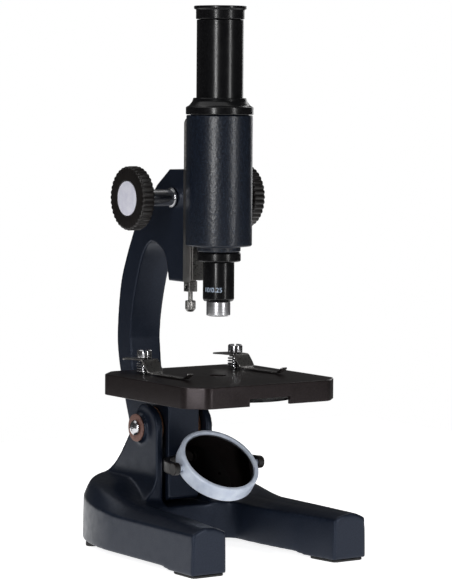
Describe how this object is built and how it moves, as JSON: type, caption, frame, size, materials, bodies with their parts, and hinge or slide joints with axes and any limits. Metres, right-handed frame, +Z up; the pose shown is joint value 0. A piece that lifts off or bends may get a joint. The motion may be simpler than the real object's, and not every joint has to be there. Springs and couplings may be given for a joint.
{
  "type": "school microscope",
  "caption": "Upright monocular microscope with horseshoe base, tilting arm, square stage with two spring clips, rack-focused tube, aperture disc and swivelling mirror.",
  "frame": {"origin": "middle of the footprint on the surface that the instrument stands on", "axes": "+Z up along the tube's axis, -Y towards the open ends of the feet, +X to the right seen from the open ends"},
  "size_m": [0.103, 0.1456, 0.2722],
  "materials": {
    "blue_satin": "satin navy paint on a cast body",
    "blue_hammertone": "navy hammertone paint",
    "black_metal": "black satin lacquer",
    "stage_black": "brownish black satin lacquer",
    "black_plastic": "moulded black-brown plastic",
    "mirror_plastic": "pale blue-grey plastic",
    "cap_white": "pale lavender white plastic",
    "chrome": "polished chrome",
    "steel": "bright machined steel",
    "aluminium": "turned aluminium",
    "bronze": "dull copper-coloured washer",
    "rubber": "black rubber",
    "fibre": "pressed fibre",
    "glass": "clear lens glass",
    "mirror_glass": "silvered glass"
  },
  "bodies": {
    "base": {"base_casting": "blue_satin", "foot_pad_front_left": "rubber", "foot_pad_front_right": "rubber", "foot_pad_rear_left": "rubber", "foot_pad_rear_right": "rubber", "pivot_bolt": "chrome", "pivot_washer_left": "bronze", "pivot_washer_right": "bronze", "pivot_nut": "chrome"},
    "arm": {"arm_casting": "blue_satin", "stage_plate": "stage_black", "stage_screw_left": "steel", "stage_screw_right": "steel", "friction_washer_left": "fibre", "friction_washer_right": "fibre", "pinion_sleeve_left": "chrome", "pinion_sleeve_right": "chrome", "stop_block": "steel", "stop_lock_screw": "black_metal", "diaphragm_screw": "steel"},
    "tube": {"body_tube": "blue_hammertone", "tube_collar": "black_metal", "nosepiece_ring": "black_metal", "objective_barrel": "black_metal", "objective_tip": "aluminium", "objective_front_lens": "glass", "objective_rear_lens": "glass", "dovetail_slide": "steel", "rack": "steel", "slide_screw": "steel"},
    "focus_knobs": {"pinion_shaft": "steel", "focus_knob_left": "black_plastic", "focus_knob_right": "black_plastic", "knob_cap_left": "cap_white", "knob_cap_right": "cap_white"},
    "eyepiece": {"eyepiece_barrel": "black_metal", "eyepiece_head": "black_metal", "eye_lens": "glass", "eye_lens_ring": "black_metal", "field_lens": "glass", "field_lens_ring": "black_metal", "field_stop": "black_metal"},
    "diaphragm": {"diaphragm_disc": "black_metal"},
    "mirror_yoke": {"mirror_yoke": "black_plastic"},
    "mirror": {"mirror_cell": "mirror_plastic", "mirror_flat_glass": "mirror_glass", "mirror_concave_glass": "mirror_glass"},
    "clip_swivel_left": {"clip_screw_left": "chrome", "clip_nut_left": "steel", "clip_spring_left": "chrome"},
    "clip_swivel_right": {"clip_screw_right": "chrome", "clip_nut_right": "steel", "clip_spring_right": "chrome"},
    "clip_left": {"clip_plate_left": "steel"},
    "clip_right": {"clip_plate_right": "steel"},
    "stop_screw": {"stop_screw_rod": "steel"},
    "stop_head": {"stop_screw_head": "steel"}
  },
  "joints": [
    {"name": "arm_tilt", "type": "hinge", "parent": "base", "child": "arm", "pos_m": [0, 0.02755, 0.0594], "axis": [-1, 0, 0], "range_deg": [0, 45]},
    {"name": "focus_slide", "type": "slide", "parent": "arm", "child": "tube", "axis": [0, 0, 1], "range_m": [-0.022, 0.012]},
    {"name": "knob_turn", "type": "hinge", "parent": "arm", "child": "focus_knobs", "pos_m": [0, 0.01055, 0.1769], "axis": [1, 0, 0], "range_deg": [-192, 351]},
    {"name": "eyepiece_lift", "type": "slide", "parent": "tube", "child": "eyepiece", "axis": [0, 0, 1], "range_m": [0, 0.035]},
    {"name": "diaphragm_turn", "type": "hinge", "parent": "arm", "child": "diaphragm", "pos_m": [0, -0.03685, 0.0811], "axis": [0, 0, 1], "continuous": true},
    {"name": "mirror_swivel", "type": "hinge", "parent": "arm", "child": "mirror_yoke", "pos_m": [-0.0018, 0.01325, 0.0445], "axis": [0, 1, 0], "range_deg": [-45, 45]},
    {"name": "mirror_tilt", "type": "hinge", "parent": "mirror_yoke", "child": "mirror", "pos_m": [-0.0018, -0.01985, 0.0445], "axis": [1, 0, 0], "continuous": true},
    {"name": "clip_left_swivel", "type": "hinge", "parent": "arm", "child": "clip_swivel_left", "pos_m": [-0.0275, 0.00775, 0.0892], "axis": [0, 0, 1], "range_deg": [-62, 33]},
    {"name": "clip_left_lift", "type": "hinge", "parent": "clip_swivel_left", "child": "clip_left", "pos_m": [-0.02737, 0.00395, 0.0972], "axis": [-0.9994, -0.0349, 0], "range_deg": [0, 8], "stiffness_Nm_per_rad": 0.4, "springref_deg": -4.58, "deforming": ["clip_spring_left"]},
    {"name": "clip_right_swivel", "type": "hinge", "parent": "arm", "child": "clip_swivel_right", "pos_m": [0.0275, 0.00775, 0.0892], "axis": [0, 0, 1], "range_deg": [-36, 56]},
    {"name": "clip_right_lift", "type": "hinge", "parent": "clip_swivel_right", "child": "clip_right", "pos_m": [0.02773, 0.00396, 0.0972], "axis": [-0.9981, -0.061, 0], "range_deg": [0, 8], "stiffness_Nm_per_rad": 0.4, "springref_deg": -4.58, "deforming": ["clip_spring_right"]},
    {"name": "stop_screw_travel", "type": "slide", "parent": "arm", "child": "stop_screw", "axis": [0, 0, 1], "range_m": [-0.004, 0]},
    {"name": "stop_head_turn", "type": "hinge", "parent": "stop_screw", "child": "stop_head", "pos_m": [0, 0.00795, 0.122], "axis": [0, 0, 1], "range_deg": [-2881, 1]}
  ],
  "couplings": [
    {"joint": "knob_turn", "follows": "focus_slide", "rad_per_m": -277.78},
    {"joint": "stop_head_turn", "follows": "stop_screw_travel", "rad_per_m": 12566}
  ]
}
